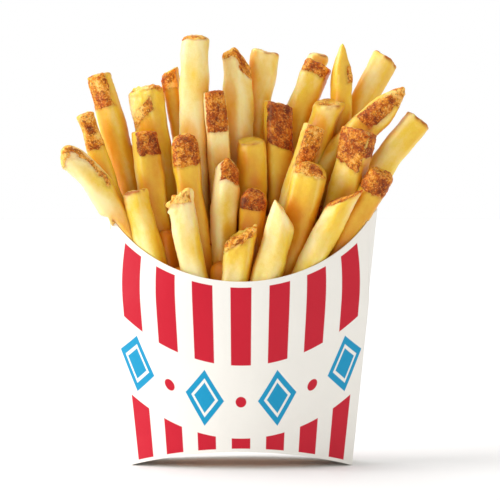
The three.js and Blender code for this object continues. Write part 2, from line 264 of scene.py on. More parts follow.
FRIES = [
    # Standing against the front panel, left to right
    # The first and last fry of this row get painted shade on their feet, where they go down behind the rim
    fry((-64, -13, 110.6), (-33.5, -6, 58), (9, 8.4), 10, patch(3, 19, 0.26, shift=3.3),
        patch(-4, 2.6, 1.1, roast=0.05), via=(-50, -13, 110), end="dome", tone=0.22, roast=0.3, over=3.4,
        deep=1.1, deep_from=21),
    fry((-37.6, -12, 98.6), (-27, -12.5, 57.8), (8.4, 8), -30, tone=0.36, toast=0.9),
    fry((-22.2, -17, 96.8), (-14, -16.5, 57.8), (8.8, 8.4), -18, patch(CAP, 3, 1.3, -0.3),
        slant=(0.45, -0.2), tone=0.18, roast=0.0, torn=0.5),
    fry((0.4, -18.2, 83.2), (-3.2, -17.6, 57.8), (9.8, 8.4), -14, patch(CAP, 2.2, 2.2), slant=(0.8, 0.2),
        tone=0.48, roast=0.22, torn=0.5),
    fry((15.2, -17.6, 91.2), (5.7, -17.4, 57.8), (9.8, 8.8), -22, slant=(-0.87, 0), tone=0.26, toast=0.3),
    fry((37.2, -15, 96.7), (17.3, -15, 57.8), (8.6, 8.4), -38, patch(CAP, 1.7, 2.4), slant=(1.15, 0),
        tone=0.42, roast=0.5, toast=0.8),
    fry((50.4, -9, 105.1), (25.8, -8.5, 58.8), (8.4, 8), 18, patch(CAP, 8, 2.6), slant=(0, 0.3), tone=0.8,
        over=2.4, deep=1.2, deep_from=20),

    # Second row
    fry((-55.5, -2.5, 126), (-35.2, 0, 58.8), (6.6, 7.4), 5, patch(CAP, 13, 1.1, roast=0.3),
        patch(4, 7.5, 0.45, roast=0.9), tone=0.5),
    fry((-35.2, -4, 119.4), (-25.2, -3, 58.8), (8.8, 8.2), 15, patch(CAP, 8.2, 0.98), slant=(-0.12, 0),
        tone=0.5, roast=0.75, corner=3.4),
    fry((-21.1, -6.5, 118.6), (-12.5, -6.5, 58.8), (9.6, 9), 12, patch(CAP, 11.5, 1.3), end="round",
        tone=0.62),
    fry((-4.6, -8.6, 109.9), (-7.2, -7, 58.8), (8, 8), 34, patch(CAP, 6.8, 1.1), slant=(-0.1, 0),
        crest=0.85, tone=0.16, corner=3.4),
    fry((5.2, -9.3, 99), (2.1, -8, 58.8), (9, 8), 0, patch(CAP, 7, 1.2), end="round", tone=0.9,
        roast=0.85),
    fry((25.2, -12, 108.4), (13.5, -7.5, 58.8), (11.2, 9.6), -10, patch(CAP, 4, 1.2, roast=0.12),
        patch(CAP, 2.2, 0.5, shift=3.2, roast=1.0), end="round", tone=0.66),
    fry((26.8, -2.5, 121.4), (11.5, -3, 76.8), (7.2, 7.2), 15, patch(CAP, 14, 1.0, 0.5), tone=0.5,
        roast=0.3),
    fry((43.2, -4, 120), (27.5, -1, 58.8), (11.8, 9.4), -31, patch(CAP, 13, 0.95, -0.3, roast=0.62),
        patch(CAP, 9, 0.9, roast=0.8, face="right"), tone=0.5, corner=3.6),

    # Third row
    fry((-51.2, 8, 140.2), (-31, 5, 58.8), (8.9, 8.5), -25, patch(CAP, 7.5, 1.0, roast=0.3),
        patch(7, 12.3, 1.0, roast=0.55), tone=0.48),
    fry((-34.9, 5.5, 135.8), (-23.5, 7, 58.8), (11, 10.2), -35, patch(-4, 1.4, 0.9, face="right"),
        patch(7.4, 11.8, 0.8, 0.8, shift=0.8, roast=0.05), end="dome", tone=0.42, roast=0.25, torn=0.25),
    fry((-16.9, 4, 153.9), (-16, 4.5, 58.8), (9.8, 9), -8, patch(-3.5, 0.6, 1.3), end="dome", tone=0.12,
        roast=0.35, toast=0.5),
    fry((-10.3, 0, 134), (-3, 2, 58.8), (7.6, 7.6), 8, patch(CAP, 14.5, 1.05), tone=0.12, roast=0.72),
    fry((3.3, 1.5, 116.6), (4.3, 2, 58.8), (9.4, 9), 25, slant=(0, 0.35), tone=0.66, toast=0.5),
    fry((13.7, 6, 129.6), (14.5, 7.5, 58.8), (9.4, 8.6), 12, patch(CAP, 16, 1.1, -0.35), slant=(-0.25, 0),
        tone=0.6, roast=0.85, corner=3.4),
    fry((32.2, 7.5, 129.8), (20, 5, 64.8), (9.8, 9.4), -25, patch(CAP, -1, 2.5), via=(22.5, 7, 101.8),
        slant=(0.3, 0.35), tone=0.5, toast=0.5, roast=0.05),
    fry((58.8, 5.5, 135.6), (27, 5.5, 103.3), (9.8, 9.2), 20, patch(-40, -2, 9, roast=0.1, face="left"),
        patch(0, 20, 0.8, face="left"), patch(-3, 0.5, 0.5, roast=1.0, face="left"), end="point",
        tone=0.58),
    fry((64, 6, 124.3), (35, 4, 76.8), (9.2, 8.8), 10, via=(44, 5.5, 100.8), tone=0.34, toast=0.8,
        flare=0.03),

    # Leaning on the back panel
    fry((-25.5, 12.5, 141.6), (-14.5, 13, 60.8), (6, 7.6), -10, patch(CAP, 6.5, 1.2), slant=(0.45, 0),
        tone=0.55, roast=0.2),
    fry((-2.6, 9.5, 149.1), (2.2, 10.5, 58.8), (8.8, 8.4), -38, patch(CAP, 2.6, 1.3, -0.5, roast=0.15),
        patch(CAP, 6.5, 1.1, face="right"), via=(-0.2, 10, 119.8), slant=(-0.59, -0.15), crest=1.05,
        tone=0.1, corner=3.4, roast=0.45),
    fry((8.9, 17, 148.7), (0.5, 17.5, 60.8), (8.6, 8.4), -12, via=(3.2, 17.5, 118.8), tone=0.28,
        toast=0.8, flare=0.11),
    fry((28.8, 16, 143.9), (14, 14.5, 90.8), (9.6, 9), -10, patch(CAP, 4.5, 1.1), via=(14.5, 15.5, 117.8),
        tone=0.46, roast=0.55),
    fry((28.4, 24, 148), (18, 16, 82.8), (7.6, 7.6), 10, via=(20, 20.5, 120.8), end="dome", tone=0.3,
        toast=0.8),
    fry((37.1, 14, 151.1), (34.8, 12.5, 106.8), (7.4, 7.2), 25, patch(1, 14, 0.5, shift=2.8), end="point",
        tone=0.55, roast=0.4),
    fry((52.6, 22, 146.2), (20, 9.5, 78.8), (8.8, 8.6), -25, patch(CAP, 0.6, 1.2, face="right"),
        slant=(-0.2, 0), tone=0.42, toast=0.9, roast=0.3),
    fry((-37, 12.5, 114.8), (-27, 9, 60.8), (8.4, 8.2), 20, patch(CAP, 12, face="back"), tone=0.7),
    fry((-28, 15.5, 109.8), (-21.5, 11, 60.8), (8, 7.8), -15, end="round", tone=0.6),
    fry((-12, 22, 116.8), (-8.5, 17, 60.8), (8.4, 8.6), 8, patch(CAP, 16, face="back"), tone=0.5),
    fry((9.5, 22, 108.8), (8, 18.5, 60.8), (8.6, 7.8), -20, patch(-1, 9, face="back"), slant=(0.5, 0),
        tone=0.6),
    fry((-9, 10, 120.8), (-6.5, 9.5, 60.8), (8, 7.8), 30, tone=0.6),
]

# The first fry of the third row, and the first that leans on the back panel
MIDDLE_ROW = 15
BACK_ROW = 24

# Rings below the tip and columns round a fry, and points worked out along its axis and round its section
FRY_GRID = (74, 48)
FILLER_GRID = (30, 28)
AXIS_SAMPLES = 240
SECTION_SAMPLES = 1440
END_CROWDING = 1.5
STEP_GROWTH = 0.45


def stick_axis(spec, below):
    """Centre and direction at each distance below the tip, on the quadratic Bezier curve
    (1-t)^2 foot + 2t(1-t) via + t^2 tip, walked by its length, which comes with them."""
    foot = np.array(spec["foot"], dtype=float)
    tip = np.array(spec["tip"], dtype=float)
    via = (foot + tip) / 2 if spec["via"] is None else np.array(spec["via"], dtype=float)

    def curve(t):
        return (1 - t)**2 * foot + 2 * t * (1 - t) * via + t**2 * tip

    t = np.linspace(0, 1, AXIS_SAMPLES)
    steps = np.diff(curve(t[:, None]), axis=0)
    walked = np.concatenate([[0], np.cumsum(np.linalg.norm(steps, axis=1))])
    share = np.interp(walked[-1] - below, walked, t)[:, None]
    along = unit((1 - share) * (via - foot) + share * (tip - via))
    return curve(share), along, walked[-1]


def stick_section(size, power, columns):
    """Points evenly round the superellipse |2u/wide|^power + |2v/deep|^power = 1, anticlockwise from the
    middle of the front, the distance round to each, and the whole way round."""
    turn = np.linspace(-np.pi / 2, 1.5 * np.pi, SECTION_SAMPLES + 1)
    u = size[0] / 2 * np.sign(np.cos(turn)) * np.abs(np.cos(turn))**(2 / power)
    v = size[1] / 2 * np.sign(np.sin(turn)) * np.abs(np.sin(turn))**(2 / power)
    walked = np.concatenate([[0], np.cumsum(np.hypot(np.diff(u), np.diff(v)))])
    places = np.arange(columns) / columns * walked[-1]
    return np.interp(places, walked, u), np.interp(places, walked, v), places, walked[-1]


def stick_rings(end, length, rings):
    """How far each ring lies below the tip and how wide it is: round the end's superellipse first, then
    down the stick with growing steps. With them comes how far the end's rounding reaches."""
    reach, power = ENDS[end]
    turn = np.pi / 2 * (np.arange(1, END_RINGS + 1) / END_RINGS)**END_CROWDING
    scale = np.sin(turn)**(2 / power)
    below = reach * (1 - np.cos(turn)**(2 / power))
    t = np.arange(1, rings - END_RINGS + 1) / (rings - END_RINGS)
    down = reach + (length - reach) * ((1 - STEP_GROWTH) * t + STEP_GROWTH * t**2)
    return np.concatenate([below, down]), np.concatenate([scale, np.ones(len(down))]), reach


NO_SKIN = -20.0
PATCH_BLEND = (-0.6, 0.9)


def skin_field(spec, place, round_about, below):
    """How far inside a patch of skin each point is, in millimetres, negative outside: the least of the
    distances to the patch's four sides, and the most of that over the patches. With it comes how dark
    the skin of that patch is."""
    wide, deep = spec["size"]
    field = np.full(below.shape, NO_SKIN)
    roast = np.full(below.shape, spec["roast"])
    for one in spec["skin"]:
        number = FACES.index(one["face"])
        middle = number * (wide + deep) / 2 + one["shift"]
        face_width = deep if number % 2 else wide
        aside = (place - middle + round_about / 2) % round_about - round_about / 2
        slide = below + one["skew"] * aside
        inside = np.minimum(one["bottom"] - slide, slide - one["top"])
        inside = np.minimum(inside, one["wide"] * face_width / 2 - np.abs(aside))
        darkness = spec["roast"] if one["roast"] is None else one["roast"]
        weight = np.where(field > 0, ramp(inside, *PATCH_BLEND), inside > field)
        roast = roast + (darkness - roast) * weight
        field = np.maximum(field, inside)
    return field, roast


# The body of a fry, in millimetres. A wave goes as the sine of the distance below the tip over its length
OVERSIZE = 1.03
SWELLS = ((0.035, 9), (0.02, 3.7))
TWIST = 0.05
TWIST_WAVE = 17
WANDER = 0.45
WANDER_WAVES = (13, 16)
WANDER_START = 30
FLARE_REACH = 22
SLANT_REACH = 16
CREST_ROUND = 0.6
END_DISH = 0.35
END_OVERLAP = 2.2

# Noise on a fry: its height, its wavelength, its number, and what its length along the fry is divided by
SKIN_EDGE = (0.28, 4.2, 11)
SKIN_EDGE_FINE = (0.14, 1.5, 12)
LUMPS = (0.17, 8.5, 13, 0.6)
BLISTERS = (0.035, 2.4, 14)
SKIN_BLISTERS = (0.09, 1.9, 15)
RAGGED_END = (1, 2.8, 16)
TOAST_CHANGE = (0.5, 4, 17)
TONE_CHANGE = (0.1, 9, 18, 0.35)

# Relief of the surface, and where along the fry each form starts and ends
SLUMP = 0.06
SLUMP_WAVE = 11
SKIN_THICKNESS = 0.12
SKIN_RAMP = (-0.4, 0.5)
END_RELIEF = 0.07
TORN_RELIEF = 0.45
END_RELIEF_RAMP = (1, 7)
TOASTED_RIM = 0.2
TOASTED_WIDTH = 0.9
TOASTED_TOP = 0.25
# Painted shade: the next value makes faces turned to +X, away from the strong light on the left, more
# golden
SIDE_SHADE = 0.16
# How far down a fry the painted shade of the heap's inside fades in
DEEP_REACH = 13
OFFSET_BETWEEN_FRIES = 53.0
OFFSETS = 97


class Stick:
    """One fry as a grid of points, in rings from its tip down and columns round its section."""

    def __init__(self, spec, seed, grid):
        rings, columns = grid
        self.spec = spec
        self.seed = seed
        self.phase = np.random.default_rng(seed).uniform(0, 2 * np.pi, 6)
        self.length = stick_axis(spec, np.zeros(1))[2]
        below, scale, self.reach = stick_rings(spec["end"], self.length, rings)
        self.below = below[:, None]
        self.scale = scale[:, None]
        self.u, self.v, self.place, self.round_about = stick_section(spec["size"], spec["corner"], columns)
        self.faces = np.cos(8 * np.pi * self.place / self.round_about)
        self.bare = self.bare_points()
        down = np.gradient(self.bare, axis=0)
        sideways = np.roll(self.bare, -1, axis=1) - np.roll(self.bare, 1, axis=1)
        self.normal = unit(np.cross(down, sideways))

    def bare_points(self):
        """The section carried along the axis: grown by the end's scale, slow swells and the flare, turned
        by a slow twist, moved aside by a slow wander, and slid along by the end's slant and crest and
        by the dish of a cut end. own gets each point's place across, back and below the tip."""
        spec, below, phase = self.spec, self.below, self.phase
        centre, along, _ = stick_axis(spec, below[:, 0])
        across = unit(np.array([1.0, 0, 0]) - along * along[:, :1])
        back = np.cross(along, across)

        swell = 1 + spec["flare"] * (1 - ramp(below, 0, FLARE_REACH))
        for (height, wave), shift in zip(SWELLS, phase[:2]):
            swell = swell + height * np.sin(below / wave + shift)
        grown = OVERSIZE * self.scale * swell
        angle = math.radians(spec["turn"]) + TWIST * np.sin(below / TWIST_WAVE + phase[2])
        aside = grown * (self.u * np.cos(angle) - self.v * np.sin(angle))
        deeper = grown * (self.u * np.sin(angle) + self.v * np.cos(angle))
        self.own = np.stack([aside, deeper, np.broadcast_to(below, aside.shape)], axis=-1)

        rise = spec["slant"][0] * aside + spec["slant"][1] * deeper
        rise = rise - spec["crest"] * (np.hypot(aside, CREST_ROUND) - CREST_ROUND)
        rise = rise * np.clip(1 - (below - self.reach) / SLANT_REACH, 0, 1)
        rise = rise - END_DISH * (1 - self.scale)**2 * (spec["end"] == "cut")
        wander = WANDER * ramp(self.length - below, 0, WANDER_START)
        aside = aside + wander * np.sin(below / WANDER_WAVES[0] + phase[3])
        deeper = deeper + wander * np.sin(below / WANDER_WAVES[1] + phase[4])
        return (centre[:, None] + across[:, None] * aside[..., None] + back[:, None] * deeper[..., None]
                + along[:, None] * rise[..., None])

    def noise(self, height, wavelength, number, along=1):
        """Smooth noise of a height over the fry's own coordinates, which along shortens."""
        return height * ripple(self.own * [1, 1, along], wavelength, self.seed + number)

    def relief(self, skin):
        """How far the surface stands off the bare one: the slump of the four faces, as cosine of the way
        round, lumps, blisters, the skin's thickness with its own blisters, and a ragged end."""
        slump = -SLUMP * self.faces * self.scale
        height = slump * (0.5 + 0.5 * np.sin(self.below / SLUMP_WAVE + self.phase[5]))
        height = height + self.noise(*LUMPS) + self.noise(*BLISTERS)
        height = height + ramp(skin, *SKIN_RAMP) * (SKIN_THICKNESS + self.noise(*SKIN_BLISTERS))
        near_end = 1 - ramp(self.below, *END_RELIEF_RAMP)
        return height + near_end * (END_RELIEF + TORN_RELIEF * self.spec["torn"]) * self.noise(*RAGGED_END)

    def add_to(self, shell, neighbours):
        """Raises the surface, tucks it into the carton, works out what the material reads, and adds it."""
        spec = self.spec
        surface = self.own[..., 2] - self.reach * (1 - self.scale) * END_OVERLAP
        skin, roast = skin_field(spec, self.place, self.round_about, surface)
        skin = skin + self.noise(*SKIN_EDGE) + self.noise(*SKIN_EDGE_FINE)
        points = tucked(self.bare + self.normal * self.relief(skin)[..., None], spec["over"])

        rim = np.exp(-((surface - TOASTED_RIM) / TOASTED_WIDTH)**2) + TOASTED_TOP * (surface < TOASTED_RIM)
        toast = spec["toast"] * rim * (0.75 + self.noise(*TOAST_CHANGE))
        # Painted shade: from deep_from below the tip down, the fry is painted with the darker orange of the
        # heap's inside
        deep = spec["deep"] * ramp(self.below, spec["deep_from"], spec["deep_from"] + DEEP_REACH)
        shell.add_tube(points, {
            "stick": self.own + np.array([OFFSET_BETWEEN_FRIES * (self.seed % OFFSETS), 0, 0]),
            "skin": skin,
            "toast": np.clip(toast, 0, 1),
            # Tone: the fry's own pale to golden, plus painted shade that makes faces turned away from the
            # light more golden
            "tone": spec["tone"] + self.noise(*TONE_CHANGE) + SIDE_SHADE * self.normal[..., 0],
            "roast": roast,
            "ridge": (0.5 - 0.5 * self.faces)**2 * (self.scale > 0.9),
            # Painted shade between fries and inside the heap: the stronger of crowding and deep
            "crowd": np.maximum(crowding(points, self.normal, neighbours), deep),
        })


# Painted shade between fries: points on the axes, how far a probe stands off, and between which distances a
# neighbour crowds it
CROWD_STEP = 4.0
CROWD_PROBE = 3.5
CROWD_RANGE = (3.4, 9.0)
AXIS_START = 1.5


def axis_points(specs):
    """Points every few millimetres along the axes of all fries, and which fry each one belongs to."""
    places = []
    owners = []
    for index, spec in enumerate(specs):
        length = stick_axis(spec, np.zeros(1))[2]
        centre = stick_axis(spec, np.arange(AXIS_START, length, CROWD_STEP))[0]
        places.append(centre)
        owners.append(np.full(len(centre), index))
    return np.concatenate(places), np.concatenate(owners)


def crowding(points, normal, neighbours):
    """How closely other fries stand before each point, painted as shade: 1 where one touches it, 0 where
    none is near. A probe a little outside the point is measured to the nearest point on the neighbours'
    axes."""
    probe = (points + CROWD_PROBE * normal).reshape(-1, 3)
    squared = (probe**2).sum(axis=1)[:, None] + (neighbours**2).sum(axis=1) - 2 * probe @ neighbours.T
    nearest = np.sqrt(np.maximum(squared.min(axis=1), 0))
    return (1 - ramp(nearest, *CROWD_RANGE)).reshape(points.shape[:-1])


# Fries stay so far from the panels and folds, up to the rim and a little above it
PANEL_GAP = BOARD + 0.5
FOLD_GAP = BOARD + 1.0
FOLD_ROOM = 1.5
FOLD_FADE = 3.0
RIM_FADE = 1.6
CORNER_START = 44.8
CORNER_END = 46.2


def tucked(points, over):
    """The points kept inside the carton: up to its rim, no further from the middle than the panels' depth
    1 - share^2 allows, less the board, and no further aside than the folds. Right at the corners
    they are only held from so far below the rim."""
    x, y, z = points[..., 0], points[..., 1], points[..., 2]
    share = np.clip(np.abs(x) / half_width_at_edge(z), 0, 1)
    beyond = np.clip((np.abs(x) - half_width_at_edge(z)) / FOLD_FADE, 0, 1)
    room = (half_depth(share, z) - PANEL_GAP) * (1 - beyond) + FOLD_ROOM * beyond
    rim = np.where(y < 0, np.minimum(scoop(x), CORNER_HEIGHT), crown(share))
    rim = rim - over * ramp(np.abs(x), CORNER_START, CORNER_END)
    held = 1 - ramp(z, rim, rim + RIM_FADE)
    tucked_y = np.clip(y, -room, room)
    widest = half_width_at_fold(z) - FOLD_GAP
    tucked_x = np.clip(x, -widest, widest)
    return np.stack([x + (tucked_x - x) * held, y + (tucked_y - y) * held, z], axis=-1)


# Rows of short fries packed between the others: how far back, how many, and the range of their heights
FILLER_ROWS = [(-13.5, 7, 63, 74), (-6.5, 8, 70, 86), (0.5, 8, 76, 96), (7.5, 8, 82, 100), (14, 6, 84, 98)]
FILLER_FOOT = 52
FILLER_THICKNESS = 8.2
FILLER_LEAN = 0.0064
FILLER_DEPTH = 24
FILLER_LEAST_SHARE = 0.1
FILLER_INSET = 9
FILLERS_WITH_SKIN = 0.4


def filler_specs():
    """Short fries packed between the rows, spread evenly, leaning outwards as the rest do."""
    draw = np.random.default_rng(41)
    specs = []
    for y, count, low, high in FILLER_ROWS:
        share = math.sqrt(max(FILLER_LEAST_SHARE, 1 - abs(y) / FILLER_DEPTH))
        reach = half_width_at_edge(SEAM_HEIGHT) * share - FILLER_INSET
        for x in np.linspace(-reach, reach, count):
            x = x + draw.uniform(-1.5, 1.5)
            height = draw.uniform(low, high)
            leaning = x * (1 + FILLER_LEAN * (height - FILLER_FOOT))
            tip = (leaning, y + draw.uniform(-1, 1), height)
            size = FILLER_THICKNESS * draw.uniform(0.9, 1.1, size=2)
            turn = draw.uniform(-40, 40)
            end = ("cut", "round", "dome")[draw.integers(3)]
            has_skin = draw.uniform() < FILLERS_WITH_SKIN
            skin = [patch(CAP, draw.uniform(2, 8))] if has_skin else []
            foot = (x, y, FILLER_FOOT)
            # Painted shade: deep paints the packed fries with the full shade of the heap's inside
            specs.append(fry(tip, foot, size, turn, *skin, end=end, tone=0.85, deep=1.05))
    return specs


CORE_TOP_FRONT = 58.0
CORE_TOP_BACK = 76.0
CORE_FLOOR = 1.5
CORE_INSET = 1.6
CORE_CORNER = 0.6
CORE_DEPTH_SHARE = 0.9
CORE_LUMP = 1.2
CORE_LUMP_WAVE = 11
CORE_LUMP_START = 50
CORE_RINGS = 26
CORE_TOP_RINGS = 13
CORE_LAST_RING = 0.04
CORE_COLUMNS = 120


def add_core(shell):
    """What the lower fries are packed on: the carton's inside as a lens in plan, with |y| as the depth
    of the panels, from the arched floor up to a lumpy top that rises to the back and closes in rings."""
    turn = 2 * np.pi * np.arange(CORE_COLUMNS) / CORE_COLUMNS
    share = np.cos(turn)
    side = np.sign(np.sin(turn)) * np.abs(np.sin(turn))**CORE_CORNER
    rise = np.concatenate([np.linspace(0, 1, CORE_RINGS), np.ones(CORE_TOP_RINGS)])[::-1, None]
    shrink = np.linspace(1, CORE_LAST_RING, CORE_TOP_RINGS + 1)
    shrink = np.concatenate([np.ones(CORE_RINGS - 1), shrink])[::-1, None]
    depth_share = side * shrink
    top = CORE_TOP_FRONT + (CORE_TOP_BACK - CORE_TOP_FRONT) * (depth_share + 1) / 2
    low = arch(share) + CORE_FLOOR
    z = low + (top - low) * rise
    x = share * shrink * (half_width_at_edge(z) - CORE_INSET)
    y = depth_share * (half_depth(share * CORE_DEPTH_SHARE, z) - CORE_INSET - 1)
    points = np.stack([x, y, z], axis=-1)
    points[..., 2] += CORE_LUMP * ripple(points, CORE_LUMP_WAVE, 5) * (points[..., 2] > CORE_LUMP_START)
    # Painted shade: the core carries the full painted shade of the heap's inside
    plain = {"skin": NO_SKIN, "toast": 0, "tone": 0.7, "roast": 0.5, "ridge": 0, "crowd": 1.15}
    values = {name: np.full(z.shape, float(value)) for name, value in plain.items()}
    shell.add_tube(points, {"stick": points, **values})


# The carton's grid: its stations round it and its rows below and above the height where the folds open
PANEL_COLUMNS = 121
FOLD_COLUMNS = 5
LOWER_ROWS = 36
UPPER_ROWS = 26
FRONT_MIDDLE = (PANEL_COLUMNS - 1) // 2
BACK_START = PANEL_COLUMNS + 2 * FOLD_COLUMNS - 1
BACK_MIDDLE = BACK_START + FRONT_MIDDLE

# Materials of the board, the slack of its panels as height, wavelength and seed, and where it sets in
OUTSIDE, INSIDE, CUT_EDGE = range(3)
SLACK = ((0.12, 55, 3), (0.05, 21, 4))
SLACK_START = (4, 30)

# The print keeps off the panels' edges. Where there is none its margin is well below zero
PRINT_MARGIN_RIM = 2.1
PRINT_MARGIN_SIDE = 1.3
PRINT_MARGIN_FOOT = 1.2
BARE_FOLD = -3.0
BARE = -9.0
NO_TRIANGLES = np.zeros((0, 3), dtype=int)


def rim_over(share, is_front):
    """Height of a panel's upper edge at a share of its width: the scoop in front, a low crown behind. The
    scoop's height and the width there depend on each other, so both are worked out until they settle."""
    scooped = np.full_like(share, RIM_DIP)
    for _ in range(12):
        scooped = scoop(share * half_width_at_edge(scooped))
    return np.where(is_front, scooped, crown(share))


def carton_stations():
    """For each station round the carton, front panel from left to right, right fold, back panel and left
    fold: its share of the panel's width, its share of the way from the panel's edge to the crease, and its
    side, -1 for the front half and 1 for the back half."""
    panel = np.linspace(-1, 1, PANEL_COLUMNS)
    towards = np.linspace(0, 1, FOLD_COLUMNS + 1)[1:]
    away = towards[::-1][1:]
    none = np.zeros(PANEL_COLUMNS)
    edge = np.ones(len(towards) + len(away))
    share = np.concatenate([panel, edge, panel[::-1], -edge])
    fold = np.concatenate([none, towards, away, none, towards, away])
    turning = np.repeat([-1.0, 1.0], [len(towards), len(away)])
    side = np.concatenate([none - 1, turning, none + 1, -turning])
    return share, fold, side


def carton_sheet(inset):
    """Points of the board's outside, or of its inside with the board's thickness as inset. A station runs
    straight up its panel: x is its share of the panel's width at that height, y the panel's bow, and on a
    fold both go evenly from the panel's edge to the crease. The sheet is slack by a slow ripple."""
    share, fold, side = carton_stations()
    top = rim_over(share, side < 0)
    top = np.where(fold > 0, CORNER_HEIGHT + (top - CORNER_HEIGHT) * (1 - fold), top)
    low = arch(share)
    lower = np.linspace(0, 1, LOWER_ROWS)[:, None]
    upper = np.linspace(0, 1, UPPER_ROWS)[1:, None]
    z = np.concatenate([low + (SEAM_HEIGHT - low) * lower, SEAM_HEIGHT + (top - SEAM_HEIGHT) * upper])
    edge = half_width_at_edge(z)
    x = share * (edge + (half_width_at_fold(z) - edge) * fold)
    y = side * half_depth(share, z) * (1 - fold)
    points = np.stack([x, y, z], axis=-1)
    slack = sum(height * ripple(points, wave, seed) for height, wave, seed in SLACK)
    points[..., 1] += side * slack * ramp(z, *SLACK_START)

    ahead = np.roll(points, -1, axis=1) - points
    behind = points - np.roll(points, 1, axis=1)
    before = unit(np.stack([behind[..., 1], -behind[..., 0]], axis=-1))
    after = unit(np.stack([ahead[..., 1], -ahead[..., 0]], axis=-1))
    out = (before + after) / (1 + (before * after).sum(axis=-1, keepdims=True))
    points[..., :2] -= inset * out
    return points, top, low


def print_margin(points, top, low):
    """How far inside the printed area each point of the outside is: from the rim, from the panel's sides
    and from its foot. With it comes the distance across the panel from its middle, along the board."""
    share, fold, side = carton_stations()
    z = points[..., 2]
    step = np.linalg.norm(np.diff(points, axis=1), axis=-1)
    walked = np.concatenate([np.zeros((len(z), 1)), np.cumsum(step, axis=1)], axis=1)
    middle = np.where(side < 0, walked[:, [FRONT_MIDDLE]], walked[:, [BACK_MIDDLE]])
    end = np.where(side < 0, walked[:, [PANEL_COLUMNS - 1]], walked[:, [BACK_START + PANEL_COLUMNS - 1]])
    on_panel = fold == 0
    across = np.where(on_panel, walked - middle, 0)
    under_rim = (top - z) * np.cos(np.arctan(slope_of_rim(share, side))) - PRINT_MARGIN_RIM
    margin = np.minimum(under_rim, end - middle - np.abs(across) - PRINT_MARGIN_SIDE)
    margin = np.minimum(margin, z - low - PRINT_MARGIN_FOOT)
    return np.where(on_panel, margin, BARE_FOLD * (1 + fold)), across


def add_bare(shell, points, quads, material):
    """Adds a sheet of board without print."""
    points = points.reshape(-1, 3)
    values = {"print": points, "margin": np.full(len(points), BARE)}
    shell.add(points, quads, NO_TRIANGLES, values, material)


def carton_object():
    """The board: its outside and inside sheets, the cut edge between them, and its floor."""
    outer, top, low = carton_sheet(0)
    inner = carton_sheet(BOARD)[0]
    margin, across = print_margin(outer, top, low)
    rows, columns = margin.shape
    grid = grid_quads(rows, columns, True)
    shell = Shell()
    shell.add(outer.reshape(-1, 3), grid[:, ::-1], NO_TRIANGLES, {
        "print": np.stack([across, outer[..., 2], 0 * across], axis=-1).reshape(-1, 3),
        "margin": margin.ravel(),
    }, OUTSIDE)
    add_bare(shell, inner, grid, INSIDE)
    strip = grid_quads(2, columns, True)
    add_bare(shell, np.stack([outer[-1], inner[-1]]), strip[:, ::-1], CUT_EDGE)
    add_bare(shell, np.stack([outer[0], inner[0]]), strip, CUT_EDGE)
    add_carton_floor(shell)
    return shell.mesh_object("carton_board")


RIM_SHARE_LIMIT = 0.97


def slope_of_rim(share, side):
    """Slope of the upper edge against the width: the ellipse's in front, the crown's behind."""
    x = np.clip(np.abs(share) * PANEL_HALF_WIDTH / RIM_HALF_WIDTH, 0, RIM_SHARE_LIMIT)
    scooped = RIM_HALF_HEIGHT / RIM_HALF_WIDTH * x / np.sqrt(1 - x**2)
    crowned = 2 * BACK_CROWN * np.abs(share) / PANEL_HALF_WIDTH
    return np.where(side < 0, scooped, crowned)


FLOOR_COLUMNS = 60
FLOOR_ROWS = 12
FLOOR_SHARE = 0.995
FLOOR_LIFT = 0.2
FLOOR_EDGE = BOARD * 0.8


def add_carton_floor(shell):
    """The carton's floor, its under and upper side: a lens ruled from the front panel to the back one,
    arched as 1 - share^2. Its edge lies within the panels' board."""
    share = np.linspace(-FLOOR_SHARE, FLOOR_SHARE, FLOOR_COLUMNS)[:, None]
    deep = np.linspace(-1, 1, FLOOR_ROWS)
    grid = grid_quads(FLOOR_COLUMNS, FLOOR_ROWS, False)
    for lift, quads, material in [(FLOOR_LIFT, grid[:, ::-1], OUTSIDE), (FLOOR_LIFT + BOARD, grid, INSIDE)]:
        z = arch(share) + lift + 0 * deep
        x = share * (half_width_at_edge(z) - BOARD)
        y = deep * (half_depth(share, z) - FLOOR_EDGE)
        add_bare(shell, np.stack([x, y, z], axis=-1), quads, material)


def ink(red, green, blue):
    """A colour given as it looks on screen, 0 to 255, as linear light with full alpha."""
    def linear(value):
        value = value / 255
        return value / 12.92 if value <= 0.04045 else ((value + 0.055) / 1.055)**2.4
    return (linear(red), linear(green), linear(blue), 1.0)


class Wire:
    """A socket's value. Sums, products and comparisons of wires add Math nodes to the material."""

    def __init__(self, look, socket):
        self.look = look
        self.socket = socket

    def maths(self, operation, *others, clamp=False):
        sockets = dict(enumerate((self, *others)))
        return self.look.node("ShaderNodeMath", {"operation": operation, "use_clamp": clamp}, sockets)

    def __add__(self, other):
        return self.maths("ADD", other)

    __radd__ = __add__

    def __sub__(self, other):
        return self.maths("SUBTRACT", other)

    def __rsub__(self, other):
        return (self * -1) + other

    def __mul__(self, other):
        return self.maths("MULTIPLY", other)

    __rmul__ = __mul__

    def __truediv__(self, other):
        return self.maths("DIVIDE", other)

    def __abs__(self):
        return self.maths("ABSOLUTE")

    def most(self, other):
        return self.maths("MAXIMUM", other)

    def clamped(self):
        return self.maths("ADD", 0, clamp=True)

    def step(self, low, high):
        """0 below low, 1 above high, smooth between them."""
        return self.look.node(
            "ShaderNodeMapRange", {"interpolation_type": "SMOOTHSTEP"},
            {"Value": self, "From Min": low, "From Max": high},
        )


